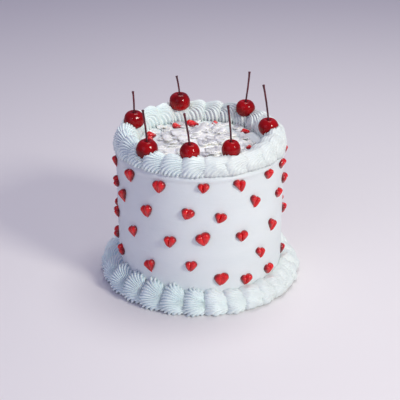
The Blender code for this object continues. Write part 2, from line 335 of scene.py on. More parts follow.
def ring_faces(rings, sectors, first=0):
    """Quads between rings of points that follow each other from index `first`."""
    faces = []
    for a in range(first, first + (rings - 1) * sectors, sectors):
        b = a + sectors
        for k in range(sectors):
            m = (k + 1) % sectors
            faces.append((a + k, b + k, b + m, a + m))
    return faces


def keep_value(mesh, name, values):
    """Stores one number for each point on the mesh itself."""
    mesh.attributes.new(name, "FLOAT", "POINT").data.foreach_set("value", values)


print("quads between two rings of four points", ring_faces(2, 4))


# %% Closing and baking a mesh
MERGE = 0.002 * MM


def tidy_mesh(mesh):
    """Merges doubled points, drops flat faces, turns the rest outwards and shades them smooth."""
    work = bmesh.new()
    work.from_mesh(mesh)
    bmesh.ops.remove_doubles(work, verts=work.verts, dist=MERGE)
    bmesh.ops.dissolve_degenerate(work, edges=work.edges, dist=MERGE)
    bmesh.ops.recalc_face_normals(work, faces=work.faces)
    for face in work.faces:
        face.smooth = True
    work.to_mesh(mesh)
    work.free()


def bake_nodes(piece):
    """Turns what the piece's modifiers make into its own plain mesh."""
    graph = bpy.context.evaluated_depsgraph_get()
    mesh = bpy.data.meshes.new_from_object(piece.evaluated_get(graph))
    piece.modifiers.clear()
    if piece.type == "MESH":
        piece.data = mesh
        return piece
    name = piece.name
    bpy.data.objects.remove(piece, do_unlink=True)
    return show(bpy.data.objects.new(name, mesh))


print("doubled points merge within", MERGE, "m")

# %% [markdown]
# The coat. A scraper leaves a drum that is never quite round: its side swells and dips by a
# fraction of a millimetre, faint marks show where the scraper ran, and some cream is pushed up
# under the crown in front. A turned profile would be too perfect, so the points of the turned form
# are moved by smooth noise.

# %% Coat profile and unevenness
COAT_SECTORS = 288
COAT_RINGS_SIDE = 84
COAT_TOP_RINGS = (0.0, 0.12, 0.25, 0.38, 0.5, 0.6, 0.7, 0.8, 0.88)
DENT_DEPTH = 0.35 * MM
MARK_DEPTH = 0.10 * MM
TOP_DENT_DEPTH = 0.25 * MM
PUSHED_UP_AT = 0.1362
PUSHED_UP_WIDTH = 0.0022
PUSHED_UP_DEPTH = 1.7 * MM
PUSHED_UP_WAVE = 1.2 * MM
PUSHED_UP_BEARING = 20.0
SIDE_EASES_IN = 0.006
TOP_DENTS_PER_M = 60.0


def coat_profile():
    """(radius, height) from the middle of the top, over the rounded edge and down to the foot."""
    points = [(DRUM_RADIUS * share, DRUM_HEIGHT) for share in COAT_TOP_RINGS]
    for angle in range(0, 91, 15):
        a = math.radians(angle)
        back, down = DRUM_EDGE * (1 - math.sin(a)), DRUM_EDGE * (1 - math.cos(a))
        points.append((DRUM_RADIUS - back, DRUM_HEIGHT - down))
    side = DRUM_HEIGHT - DRUM_EDGE
    for step in range(1, COAT_RINGS_SIDE + 1):
        points.append((DRUM_RADIUS, side * (1.0 - step / COAT_RINGS_SIDE)))
    return points + [(0.5 * DRUM_RADIUS, 0.0), (0.0, 0.0)]


def coat_swell(bearing, height):
    """How far the side stands out here: broad dents, scraper marks and the ridge under the crown."""
    a = math.radians(bearing)
    x, y = math.cos(a), math.sin(a)
    dents = noise.noise(Vector((2.2 * x, 2.2 * y, 14.0 * height)))
    marks = noise.noise(Vector((1.6 * x, 1.6 * y, 160.0 * height)))
    wave = PUSHED_UP_WAVE * noise.noise(Vector((3.0 * x, 3.0 * y, 7.0)))
    ridge = math.exp(-(((height - PUSHED_UP_AT - wave) / PUSHED_UP_WIDTH) ** 2))
    front = 0.5 + 0.5 * math.cos(math.radians(bearing - PUSHED_UP_BEARING))
    return DENT_DEPTH * dents + MARK_DEPTH * marks + PUSHED_UP_DEPTH * ridge * front


print("coat profile points", len(coat_profile()))


# %% Coat mesh
def build_coat():
    profile = coat_profile()
    points = []
    for radius, height in profile:
        for sector in range(COAT_SECTORS):
            bearing = 360.0 * sector / COAT_SECTORS
            if height in (0.0, DRUM_HEIGHT):
                dent = noise.noise(at(radius, bearing, 0.0) * TOP_DENTS_PER_M)
                lift = TOP_DENT_DEPTH * dent * (height > 0.0 and radius > 0.0)
                points.append(at(radius, bearing, height + lift))
            else:
                share = smooth((DRUM_HEIGHT - height) / SIDE_EASES_IN)
                swell = share * coat_swell(bearing, height)
                points.append(at(radius + swell, bearing, height))
    faces = ring_faces(len(profile), COAT_SECTORS)
    piece = show(new_piece("cream_coat", points, faces, coat_cream))
    tidy_mesh(piece.data)
    return piece


cream_coat = build_coat()
print("coat faces", len(cream_coat.data.polygons))


# %% [markdown]
# The piping. Both borders are a run of shells from a bag with a toothed tip: the bag is squeezed
# into a full head, drawn along while it tapers, and the next head covers the tail. The teeth leave
# ridges that fan out round the head and run together towards the tail. One shell is modelled
# straight, with rows of points that follow the ridges, so that few faces draw sharp grooves.
# Geometry Nodes then repeat it.
#
# A shell's ridges are given by six numbers: how many cross its middle, how many more start along
# its outer and its inner edge, how tightly they gather at the tail, how far up the inner flank they
# have turned (reach), and how much of the size the tail has lost.

# %% Ridge lines of a shell
SHELL_START = -0.13
SHELL_END = 1.42
SHELL_HEAD = 0.54
SHELL_BODY = 1.2
ROWS_PER_RIDGE = 6
POINTS_PER_ROW = 15
HALVINGS = 30


def ridge_number(u, w, ridges, edge, reach):
    """Which ridge runs here: u along the shell, w from 0 at its spine to 1 at its edge."""
    along = np.clip(u / SHELL_BODY, 0.0, 1.0)
    bend = np.clip(w / reach, 0.0, 1.0)
    gathered = ridges["gather"] * along * along * (3.0 - 2.0 * along)
    turn = (bend * bend * (3.0 - 2.0 * bend)) ** (1.0 - gathered)
    return ridges["middle"] * (w - w * w / 2.0) + edge * u * (0.97 * turn + 0.03 * w)


def place_on_ridge(number, u, ridges, edge, reach):
    """The w at which ridge `number` crosses each u, found by halving."""
    low, high = np.zeros_like(u), np.ones_like(u)
    for _ in range(HALVINGS):
        w = 0.5 * (low + high)
        above = ridge_number(u, w, ridges, edge, reach) > number
        high = np.where(above, w, high)
        low = np.where(above, low, w)
    return 0.5 * (low + high)


def shell_swell(u, tail, blunt):
    """Size of the section along the shell, from its hidden start: a round head, then a taper."""
    head = np.clip(1.0 - u / SHELL_HEAD, 0.0, 1.0)
    body = np.clip((u - SHELL_HEAD) / SHELL_BODY, 0.0, 1.0)
    return (1.0 - head**blunt) ** (1.0 / blunt) * (1.0 - tail * body**1.4)


print("a shell runs from", SHELL_START, "to", SHELL_END, "of the distance to the next")


# %% Sections of the two borders
def evened(outline, count=161):
    """The outline as points at even distances along it, with w running from 1 to -1."""
    outline = np.array(outline)
    steps = np.hypot(*np.diff(outline, axis=0).T)
    along = np.concatenate([[0.0], np.cumsum(steps)]) / steps.sum()
    even = np.linspace(0.0, 1.0, count)
    points = np.stack([np.interp(even, along, outline[:, k]) for k in (0, 1)], axis=1)
    return 1.0 - 2.0 * even, points


def foot_outline():
    """(outward, up) from the top at the wall over the belly to the flat underside."""
    outline = []
    for angle in range(90, -1, -3):
        a = math.radians(angle)
        outline.append((FOOT_REACH * math.cos(a), FOOT_BELLY + FOOT_RISE * math.sin(a)))
    for angle in range(6, 91, 6):
        a = math.radians(angle)
        back = FOOT_UNDERCUT * (1.0 - math.cos(a))
        outline.append((FOOT_REACH - back, FOOT_BELLY * (1.0 - math.sin(a))))
    return evened(outline)


def crown_outline(steps=95):
    """(outward from the crown's middle, up) from its inner foot over the crest to the lip."""
    outline = []
    for step in range(steps + 1):
        angle = 180.0 - step * (180.0 + CROWN_OVERHANG) / steps
        a = math.radians(angle)
        across = CROWN_INWARD if angle > 90.0 else CROWN_OUTWARD
        outline.append((across * math.cos(a), CROWN_RISE * math.sin(a)))
    return evened(outline)


print("section points", len(foot_outline()[1]), len(crown_outline()[1]))

# %% Relief of a shell
CRISP_DEPTH = 2.3 * MM
SMOOTH_DEPTH = 0.45 * MM
WRINKLE = 0.45 * MM
FAINT_LUMPS = 0.018
RIDGE_BASE = 0.62
RIDGE_VARIES = 0.22
RIDGE_FADE = 0.15
RIDGE_EDGE_GAIN = 0.8
MIDDLE_OF_SHELL = 0.6


def noise_over(u, w, along, across, shift):
    """Noise at each point of the shell, finer or coarser along and across it."""
    rows = zip(u, w)
    return np.array(
        [[noise.noise(Vector((along * a, across * b, shift))) for a, b in zip(*row)] for row in rows]
    )


def outward_of(points, pitch):
    """Unit directions away from the shell, at each point of its grid."""
    normal = np.cross(np.gradient(points, axis=0), np.gradient(points, axis=1))
    size = np.linalg.norm(normal, axis=-1, keepdims=True)
    normal = np.where(size > 1e-12, normal / np.maximum(size, 1e-12), 0.0)
    away = points - np.array([MIDDLE_OF_SHELL * pitch, 0.0, 0.0])
    return normal * np.sign(np.sum(normal * away, axis=-1, keepdims=True) + 1e-12)


print("a groove is up to", CRISP_DEPTH, "deep")

# %% One shell
ROW_CROWDING = 1.35
SMOOTH_HEAD = 3.6
CRISP_HEAD = 1.4
LUMP_SIZE = 2.2
WRINKLES_ALONG = 6.0
WRINKLES_ACROSS = 9.0
HUB_ALONG = 0.55
HUB_OFF = 0.1 * MM


def build_shell(name, outline, pitch, ridges, depth, seed, lumps):
    """A closed shell along +X, its unit boundary at x = 0, with `depth` deep grooves."""
    crisp = depth / CRISP_DEPTH
    rng = random.Random(seed)
    w_table, section = outline
    length = SHELL_END - SHELL_START
    at_head = ridges["middle"] / 2.0
    outer, inner = (
        int(round((at_head + ridges[side] * length) * ROWS_PER_RIDGE)) for side in ("outer", "inner")
    )
    numbers = np.arange(-outer, inner + 1) / ROWS_PER_RIDGE
    edge = np.where(numbers > 0.0, ridges["inner"], ridges["outer"])[:, None]
    reach = np.where(numbers > 0.0, ridges["reach"], 1.0)[:, None]
    starts = np.clip((np.abs(numbers) - at_head) / edge[:, 0], 0.0, length)
    starts[[0, -1]] = length
    share = np.linspace(0.0, 1.0, POINTS_PER_ROW) ** ROW_CROWDING
    u = starts[:, None] + (length - starts[:, None]) * share[None, :]
    size = np.abs(numbers)[:, None] + 0.0 * u
    w = place_on_ridge(size, u, ridges, edge, reach) * np.sign(numbers)[:, None]
    y, z = (np.interp(-w, -w_table, section[:, k]) for k in (0, 1))

    swell = shell_swell(u, ridges["tail"], SMOOTH_HEAD - CRISP_HEAD * crisp)
    shift = rng.uniform(0.0, 40.0)
    lumpy = noise_over(u, w, LUMP_SIZE, LUMP_SIZE, shift)
    swell = swell * (1.0 + (FAINT_LUMPS + lumps) * lumpy)
    points = np.stack([(SHELL_START + u) * pitch, swell * y, swell * z], axis=-1)

    crest = np.abs(np.cos(np.pi * (numbers[:, None] + 0.5))) ** 1.05
    even = 1.0 + RIDGE_VARIES * np.array([rng.uniform(-1.0, 1.0) for _ in range(len(numbers))])
    ridge = np.clip(np.floor(numbers) + outer, 0, len(even) - 1).astype(int)
    fade = np.clip(u / RIDGE_FADE, 0.0, 1.0) * (1.0 + RIDGE_EDGE_GAIN * np.abs(w) ** 4)
    wrinkled = noise_over(u, w, WRINKLES_ALONG, WRINKLES_ACROSS, 2.0 * shift)
    relief = depth * (crest * even[ridge][:, None] - RIDGE_BASE) * fade
    relief = relief + WRINKLE * (1.0 - crisp) * wrinkled
    points = points + outward_of(points, pitch) * relief[..., None]

    rows, columns = u.shape
    # Painted shade: how deep in a groove each point lies, kept for the finish to tint blue.
    groove_shade = (crisp * (1.0 - crest) ** 1.5 * fade + 0.0 * u).ravel().tolist() + [1.0]
    faces = []
    for a in range(0, (rows - 1) * columns, columns):
        for k in range(a, a + columns - 1):
            faces.append((k, k + 1, k + columns + 1, k + columns))
    points = points.reshape(-1, 3).tolist() + [[HUB_ALONG * pitch, HUB_OFF, HUB_OFF]]
    hub = rows * columns
    for a in range(0, (rows - 1) * columns, columns):
        faces.append((hub, a, a + columns))
        faces.append((hub, a + 2 * columns - 1, a + columns - 1))
    shell = new_piece(name, points, faces, piped_cream)
    keep_value(shell.data, "groove", groove_shade)
    tidy_mesh(shell.data)
    return shell


print("points in a row", POINTS_PER_ROW, "rows to a ridge", ROWS_PER_RIDGE)

# %% [markdown]
# A few different shells keep the ring from looking stamped. On the left they are crisp; towards the
# right of this cake the cream was softer, so its shells first lose depth and then are nearly smooth
# and lumpy.

# %% Families of shells
PITCH = 0.02
CRISP_KINDS = 4
SOFT_KINDS = 2
CRISP_LUMPS = 0.01
SOFT_LUMPS = 0.06
SMOOTH_LUMPS = 0.14
SMOOTH_TAIL = 0.6


def ridges_of(middle, outer, inner, gather, reach, tail):
    return dict(middle=middle, outer=outer, inner=inner, gather=gather, reach=reach, tail=tail)


def shell_family(name, outline, crisp, soft, crisp_depth, soft_depth):
    """Four crisp shells, two soft ones and two nearly smooth ones."""
    family = bpy.data.collections.new(name)
    smooth_one = {**soft, "tail": SMOOTH_TAIL * soft["tail"]}
    kinds = [(crisp, crisp_depth, CRISP_LUMPS)] * CRISP_KINDS
    kinds += [(soft, soft_depth, SOFT_LUMPS)] * SOFT_KINDS
    kinds += [(smooth_one, SMOOTH_DEPTH, SMOOTH_LUMPS)] * SOFT_KINDS
    for number, (ridges, depth, lumps) in enumerate(kinds):
        title, seed = f"{name}_{number}", 10 + number
        family.objects.link(build_shell(title, outline, PITCH, ridges, depth, seed, lumps))
    return family


foot_family = shell_family(
    "foot_shell",
    foot_outline(),
    ridges_of(5.2, 5.2, 5.2, gather=0.55, reach=1.0, tail=0.66),
    ridges_of(8.0, 2.6, 2.6, gather=0.3, reach=1.0, tail=0.38),
    CRISP_DEPTH,
    1.2 * MM,
)
crown_family = shell_family(
    "crown_shell",
    crown_outline(),
    ridges_of(6.6, 5.4, 3.8, gather=0.15, reach=0.55, tail=0.48),
    ridges_of(6.6, 5.0, 3.6, gather=0.15, reach=0.6, tail=0.3),
    0.75 * CRISP_DEPTH,
    1.0 * MM,
)


# %% [markdown]
# Trees that repeat a piece share their beginning and end. Each has named inputs, set on the
# modifier by the socket's identifier. Each ends by making its instances real and setting the
# finish, and its result is baked into a plain mesh.

# %% Opening, closing and running a tree
SOCKET_KINDS = {int: "NodeSocketInt", float: "NodeSocketFloat"}
FAMILY_AND_FINISH = {"Family": "Collection", "Finish": "Material"}


def new_tree(name, numbers, others):
    """A geometry tree, and its inputs by name: numbers, then a family or a finish."""
    tree = bpy.data.node_groups.new(name, "GeometryNodeTree")
    add_input = tree.interface.new_socket
    add_input("Geometry", in_out="INPUT", socket_type="NodeSocketGeometry")
    for title, value in numbers.items():
        socket = add_input(title, in_out="INPUT", socket_type=SOCKET_KINDS[type(value)])
        socket.default_value = value
    for title, kind in others.items():
        add_input(title, in_out="INPUT", socket_type=f"NodeSocket{kind}")
    add_input("Geometry", in_out="OUTPUT", socket_type="NodeSocketGeometry")
    given = tree.nodes.new("NodeGroupInput")
    return tree, {socket.name: Flow(socket) for socket in given.outputs if socket.name}


def close_tree(tree, given, geometry):
    """Ends the tree: makes every instance real and sets the finish."""
    real = add_node(tree, "GeometryNodeRealizeInstances", {"Geometry": geometry})
    values = {"Geometry": real, "Material": given["Finish"]}
    painted = add_node(tree, "GeometryNodeSetMaterial", values)
    feed(tree.nodes.new("NodeGroupOutput").inputs[0], painted)
    return tree


def run_tree(piece, tree, values):
    """Adds the tree as a modifier, sets its inputs by identifier and bakes the result."""
    modifier = piece.modifiers.new(tree.name, "NODES")
    modifier.node_group = tree
    for item in tree.interface.items_tree:
        if item.item_type == "SOCKET" and item.in_out == "INPUT" and item.name in values:
            modifier[item.identifier] = values[item.name]
    return bake_nodes(piece)


print("numbers in a tree:", SOCKET_KINDS)


# %% Steps that the trees share
def read_value(tree, name, kind="FLOAT"):
    """What the mesh has stored under this name."""
    return add_node(tree, "GeometryNodeInputNamedAttribute", {"Name": name}, data_type=kind)


def random_value(tree, kind, low, high, **seed):
    values = {"Min": low, "Max": high, **seed}
    return add_node(tree, "FunctionNodeRandomValue", values, data_type=kind)


def place_family(tree, points, given, values):
    """One piece of the family on each point, made real."""
    family = {"Collection": given["Family"], "Separate Children": True}
    pieces = add_node(tree, "GeometryNodeCollectionInfo", family)
    values = {"Points": points, "Instance": pieces, "Pick Instance": True, **values}
    spread = add_node(tree, "GeometryNodeInstanceOnPoints", values)
    return add_node(tree, "GeometryNodeRealizeInstances", {"Geometry": spread})


def step_up(value, low, high):
    """0 below low, 1 above high, smooth between."""
    values = {"Value": value, "From Min": low, "From Max": high}
    tree = value.socket.id_data
    return add_node(tree, "ShaderNodeMapRange", values, interpolation_type="SMOOTHSTEP")


print("steps:", read_value.__name__, random_value.__name__, place_family.__name__, step_up.__name__)

# %% [markdown]
# The ring tree pipes the shells in a straight row and then wraps the row round the cake: x becomes
# a bearing, y a distance outwards, z stays up. Wrapping after repeating bends every shell with the
# ring. Its inputs are the number of shells, the ring's radius, the first bearing, the uneven
# stretch of the piping, where and how far it sinks, and where its shells are soft or smooth.
#
# A formula in a tree is worked out where it is used. The two painted shade values are stored after
# the bend, and there x is the ring's own, from left to right over the cake. So the painted grey shade
# on the smeared shells grows towards the lit right of this cake, and the painted blue shade in the
# grooves is deepest on its shaded left, in front and behind alike.

# %% Ring tree
SINKS = ("Sinks from", "Sunk from", "Sunk to", "Sinks to")
SHELL_SMALLEST = (1.0, 0.95, 0.94)
SHELL_LARGEST = (1.0, 1.03, 1.05)


def ring_tree():
    tree, given = new_tree(
        "Piped ring",
        {
            "Shells": FOOT_SHELLS,
            "Pitch": PITCH,
            "Radius": DRUM_RADIUS,
            "Height": 0.0,
            "First bearing": FOOT_BEARING,
            "Stretch": 0.0,
            "Longest at": FOOT_LONGEST,
            "Sinks by": FOOT_SAG,
            **dict(zip(SINKS, FOOT_SAG_BEARINGS)),
            "Sinks above": FOOT_BELLY,
            "Soft from": -8.0,
            "Smooth from": 18.0,
            "Soft to": 128.0,
            "Ragged by": 24.0,
            # Painted grey shade on the smeared shells: where it grows, and its least and greatest
            # strength.
            "Smear from": -14.0,
            "Smear full": 44.0,
            "Least smear": 0.0,
            "Most smear": 0.65,
            # Painted blue shade in the grooves: bearing of the most light, strength, and how much it
            # fades.
            "Palest at": 22.0,
            "Groove tint": 0.60,
            "Tint fades by": 0.42,
            "Seed": 3,
        },
        FAMILY_AND_FINISH,
    )
    seed = {"Seed": given["Seed"]}

    # Which kind of shell stands at each place in the row.
    step = 360.0 / given["Shells"]
    place = given["First bearing"] + add_node(tree, "GeometryNodeInputIndex") * step
    bearing = calculate("WRAP", place, 180.0, -180.0)
    ragged = random_value(tree, "FLOAT", given["Ragged by"] * -1.0, given["Ragged by"], **seed)
    soft = (bearing > given["Soft from"]) * (bearing < given["Soft to"] + ragged)
    pick = random_value(tree, "INT", 0, CRISP_KINDS - 1, **seed)
    soft_pick = (bearing > given["Smooth from"]) * SOFT_KINDS + CRISP_KINDS
    soft_pick = soft_pick + calculate("MODULO", pick, SOFT_KINDS)
    kind = pick * (1.0 - soft) + soft_pick * soft

    # The straight row.
    offset = add_node(tree, "ShaderNodeCombineXYZ", {"X": given["Pitch"]})
    values = {"Count": given["Shells"], "Offset": offset}
    row = add_node(tree, "GeometryNodeMeshLine", values, mode="OFFSET")
    size = random_value(tree, "FLOAT_VECTOR", SHELL_SMALLEST, SHELL_LARGEST, **seed)
    shells = place_family(tree, row, given, {"Instance Index": kind, "Scale": size})

    # Wrapped round the cake, stretched unevenly and sunk on one side.
    position = {"Vector": add_node(tree, "GeometryNodeInputPosition")}
    straight = add_node(tree, "ShaderNodeSeparateXYZ", position)
    x, y, z = (straight.part(axis) for axis in "XYZ")
    even = given["First bearing"] + x / given["Pitch"] * step
    wave = calculate("SINE", calculate("RADIANS", (even - given["Longest at"]) * 2.0))
    angle = even + wave * given["Stretch"]
    facing = calculate("WRAP", angle, 180.0, -180.0)
    begins, full, eases, ends = (given[name] for name in SINKS)
    sunk = step_up(facing, begins, full) * (1.0 - step_up(facing, eases, ends))
    above = calculate("MAXIMUM", z - given["Sinks above"], 0.0)
    up = (z - above) + above * (1.0 - sunk * given["Sinks by"])
    turn = calculate("RADIANS", angle)
    distance = given["Radius"] + y
    wrapped = {
        "X": distance * calculate("SINE", turn),
        "Y": distance * calculate("COSINE", turn) * -1.0,
        "Z": up + given["Height"],
    }
    position = add_node(tree, "ShaderNodeCombineXYZ", wrapped)
    values = {"Geometry": shells, "Position": position}
    ring = add_node(tree, "GeometryNodeSetPosition", values)

    # After the bend x is the ring's own, so here `facing` runs from left to right over the cake.
    # Painted shade: grey on the smeared shells, growing from left to right over the cake.
    grown = step_up(facing, given["Smear from"], given["Smear full"])
    smear = given["Least smear"] + grown * (given["Most smear"] - given["Least smear"])
    # Painted shade: the grooves' blue fades towards the lit side and deepens away from it.
    lit_share = calculate("COSINE", calculate("RADIANS", facing - given["Palest at"]))
    groove = read_value(tree, "groove") * (given["Groove tint"] - lit_share * given["Tint fades by"])
    for name, value in (("smeared", smear), ("groove", groove)):
        values = {"Geometry": ring, "Name": name, "Value": value}
        ring = add_node(tree, "GeometryNodeStoreNamedAttribute", values, data_type="FLOAT")
    return close_tree(tree, given, add_node(tree, "GeometryNodeFlipFaces", {"Mesh": ring}))


piped_ring = ring_tree()
print("ring tree nodes", len(piped_ring.nodes))


# %% Pipe both borders
FOOT_OVERLAP = 0.0003


def pipe_ring(name, values):
    piece = show(new_piece(name, [], [], piped_cream))
    ring = run_tree(piece, piped_ring, {"Finish": piped_cream, **values})
    for vertex in ring.data.vertices:
        vertex.co.z = max(vertex.co.z, 0.0)
    triangles = sum(len(face.vertices) - 2 for face in ring.data.polygons)
    print(name, "triangles", triangles)
    return ring


foot_piping = pipe_ring(
    "foot_piping",
    {"Radius": DRUM_RADIUS - FOOT_OVERLAP, "Stretch": FOOT_STRETCH, "Family": foot_family},
)
crown_piping = pipe_ring(
    "crown_piping",
    {
        "Shells": CROWN_SHELLS,
        "Radius": CROWN_CENTRE,
        "Height": DRUM_HEIGHT,
        "First bearing": CROWN_BEARING,
        "Sinks by": CROWN_DIP,
        **dict(zip(SINKS, CROWN_DIP_BEARINGS)),
        "Sinks above": 0.0,
        "Soft from": -14.0,
        "Smooth from": 0.0,
        "Soft to": 125.0,
        # Painted grey shade on the crown: some all round, more towards the lit right.
        "Smear from": -34.0,
        "Smear full": 10.0,
        "Least smear": 0.2,
        "Most smear": 0.72,
        "Seed": 6,
        "Family": crown_family,
    },
)

# %% [markdown]
# The hearts. Each is piped as two drops of red cream from a small round tip: press, then pull down
# and inwards, twice. So a heart is two tear-shaped blobs that meet in a point, never quite alike.
# The blob is a ring of points swept along a short bent line, and a few differing hearts are set out
# by a node tree. Each keeps a "rim" value, high at its low outer edge, where the finish paints shade.

# %% One drop and one heart
HEART_WIDTH = 0.0130
HEART_LENGTH = 0.0122
HEART_HEIGHT = 0.0045
HEART_KINDS = 8
DROP_RINGS = 12
DROP_SIDES = 14
DROP_APART = 0.195
DROP_RADIUS = 0.285
DROP_TOP = 0.98
DROP_UNDERSIDE = 0.3
SECOND_DROP_LIFT = 0.10
RIM_SHADE_FULL_AT = 1.45
RIM_SHADE_HEIGHT = 0.6 * HEART_HEIGHT
RIM_SHADE_WIDTH = 0.3 * HEART_WIDTH


def drop_points(side, rng):
    """Rings of points of one drop, from its round end to the heart's tip. side is -1 or 1."""
    plump = rng.uniform(0.74, 1.2)
    thin = rng.uniform(0.5, 1.0)
    head_y = rng.uniform(0.07, 0.26) * HEART_LENGTH
    head = Vector((side * DROP_APART * HEART_WIDTH, head_y, 0.0))
    tip_x = side * rng.uniform(-0.02, 0.05) * HEART_WIDTH
    tip = Vector((tip_x, -rng.uniform(0.44, 0.58) * HEART_LENGTH, 0.0))
    bow = rng.uniform(0.0, 0.04) * HEART_WIDTH
    radius = DROP_RADIUS * HEART_WIDTH * plump
    away = (head - tip).normalized()
    start = head + away * radius
    length = (start - tip).length
    side_way = Vector((-away.y, away.x, 0.0))
    rings = []
    for ring in range(DROP_RINGS + 1):
        along = (ring / DROP_RINGS) ** 1.15
        centre = start.lerp(tip, along)
        reach = length * along
        if reach < radius:
            width = math.sqrt(max(radius**2 - (radius - reach) ** 2, 0.0))
        else:
            rest = (length - reach) / (length - radius)
            width = radius * rest**thin
            centre = centre + Vector((side * bow * math.sin(math.pi * rest), 0.0, 0.0))
        loop = []
        for k in range(DROP_SIDES):
            a = 2.0 * math.pi * k / DROP_SIDES
            round_up = DROP_TOP if a < math.pi else DROP_UNDERSIDE
            up = math.sin(a) * width * (HEART_HEIGHT / radius) * round_up
            up += SECOND_DROP_LIFT * HEART_HEIGHT * (side > 0)
            loop.append(centre + side_way * (math.cos(a) * width) + Vector((0.0, 0.0, up)))
        rings.append(loop)
    return rings


def build_heart(name, seed):
    rng = random.Random(seed)
    points, faces = [], []
    for side in (-1, 1):
        faces += ring_faces(DROP_RINGS + 1, DROP_SIDES, len(points))
        points += [point for loop in drop_points(side, rng) for point in loop]
    heart = new_piece(name, points, faces, heart_red)
    # Painted shade: the rim value is high low down on the outer sides, for the finish to darken.
    low = [RIM_SHADE_FULL_AT - point.z / RIM_SHADE_HEIGHT for point in points]
    outer = [abs(point.x) / RIM_SHADE_WIDTH for point in points]
    keep_value(heart.data, "rim", [smooth(a) * smooth(b) for a, b in zip(low, outer)])
    tidy_mesh(heart.data)
    return heart


heart_family = bpy.data.collections.new("piped_heart")
for seed in range(HEART_KINDS):
    heart_family.objects.link(build_heart(f"piped_heart_{seed}", 40 + seed))

# %% [markdown]
# The hearts stand in four staggered rows round the side, half a step apart from row to row. In
# front the bearings are those of the real cake; at the back the rows go on at the same spacing. A
# few more lie on the top, inside the crown. Their places are points that carry a turn and a size
# for the node tree to read.

# %% Where the hearts are
# Of each row: its height, then the bearing of each heart and how many mm it sits above the row.
SIDE_HEARTS = (
    (0.1295, ((-77, 0), (-52, -1), (-27, -3), (2, 0), (26, -1), (50, 1), (70, 1))),
    (0.102, ((-75, 6), (-62, 0), (-37, -4), (-8, 0), (13, -4), (38, 6), (64, 1), (78, 8))),
    (0.073, ((-77, 1), (-50, -3), (-20, -2), (2, 3), (28, 2), (56, 1), (85, 0))),
    (
        0.045,
        ((-85, -1), (-68, -8), (-35, -5), (-6, 2), (14, -13.5), (32, -18.5), (44, 5))
        + ((53, -18.5), (85, -18.5)),
    ),
)
BACK_ROW_FIRST = (96, 109, 104, 116)
BACK_ROW_STEP = 25.7
BACK_ROW_END = 266
HEART_TILT = 16
HEART_SCALE = 1.08
# Distance from the axis, bearing, turn and size of each heart on the top.
TOP_HEARTS = (
    (0.0500, -151, 80, 0.78),
    (0.0505, -171, 110, 1.00),
    (0.0535, 163, 70, 0.70),
    (0.0535, 121, 95, 0.74),
    (0.0510, 72, 60, 0.62),
    (0.0525, -110, 120, 0.90),
    (0.0510, -94, 60, 0.88),
)
print("hearts in view on the side", sum(len(row[1]) for row in SIDE_HEARTS))


# %% Places and turns of the hearts
def side_heart_places():
    """(height, bearing, size, tilt) of each heart on the side."""
    rng = random.Random(11)
    places = []

    def add_heart(height, bearing):
        size = 0.90 + 0.16 * rng.random()
        places.append((height, bearing, size, rng.uniform(-HEART_TILT, HEART_TILT)))

    for height, hearts in SIDE_HEARTS:
        for bearing, lift in hearts:
            add_heart(height + lift / 1000.0, bearing)
    for (height, _), bearing in zip(SIDE_HEARTS, BACK_ROW_FIRST):
        while bearing < BACK_ROW_END:
            add_heart(height + rng.uniform(-0.003, 0.001), bearing)
            bearing += BACK_ROW_STEP + rng.uniform(-1.5, 1.5)
    return places


def about(axis, degrees):
    return Matrix.Rotation(math.radians(degrees), 4, axis)


def heart_frames():
    """(place, turn, size) of each heart: it lies on the side or on the top, turned by its tilt."""
    frames = []
    for height, bearing, size, tilt in side_heart_places():
        turn = about("Z", bearing) @ about("X", 90) @ about("Z", tilt)
        frames.append((at(DRUM_RADIUS, bearing, height), turn.to_euler(), size))
    for distance, bearing, tilt, size in TOP_HEARTS:
        frames.append((at(distance, bearing, DRUM_HEIGHT), about("Z", tilt).to_euler(), size))
    return frames


frames = heart_frames()
print("hearts", len(frames))


# %% Set the hearts out
def set_out_tree():
    """A heart on each point, with the turn and the size that the point carries."""
    tree, given = new_tree("Set out", {"Size": HEART_SCALE}, FAMILY_AND_FINISH)
    euler = {"Euler": read_value(tree, "turn", "FLOAT_VECTOR")}
    turn = add_node(tree, "FunctionNodeEulerToRotation", euler)
    values = {"Rotation": turn, "Scale": read_value(tree, "size") * given["Size"]}
    return close_tree(tree, given, place_family(tree, given["Geometry"], given, values))


def points_with(name, frames, finish):
    """A mesh of loose points, each with a turn and a size."""
    piece = show(new_piece(name, [place for place, _, _ in frames], [], finish))
    turn = piece.data.attributes.new("turn", "FLOAT_VECTOR", "POINT")
    turn.data.foreach_set("vector", [value for _, angles, _ in frames for value in angles])
    keep_value(piece.data, "size", [size for _, _, size in frames])
    return piece


red_hearts = run_tree(
    points_with("red_hearts", frames, heart_red),
    set_out_tree(),
    {"Family": heart_family, "Finish": heart_red},
)
print("faces in all hearts", len(red_hearts.data.polygons))

# %% [markdown]
# The shavings. A knife drawn over a block of white couverture gives thin slips, some flat and
# broken, some curled. They lie loose on a low mound, and what shows between them is their own
# shade. A bent strip with a ragged edge makes one slip, and a node tree scatters a few kinds over
# the mound at random turns.

# %% One slip
SLIP_THICKNESS = 0.45 * MM
SLIP_CUP = 0.07
SLIP_LIFT = 0.0003
# Length and width in mm, and how far round each kind is bent, in radians.
SLIP_KINDS = (
    (21, 13, 0.3), (17, 12, 0.2), (20, 9, 0.5), (17, 12, 0.25), (18, 8, 1.2), (14, 10, 0.35)
)


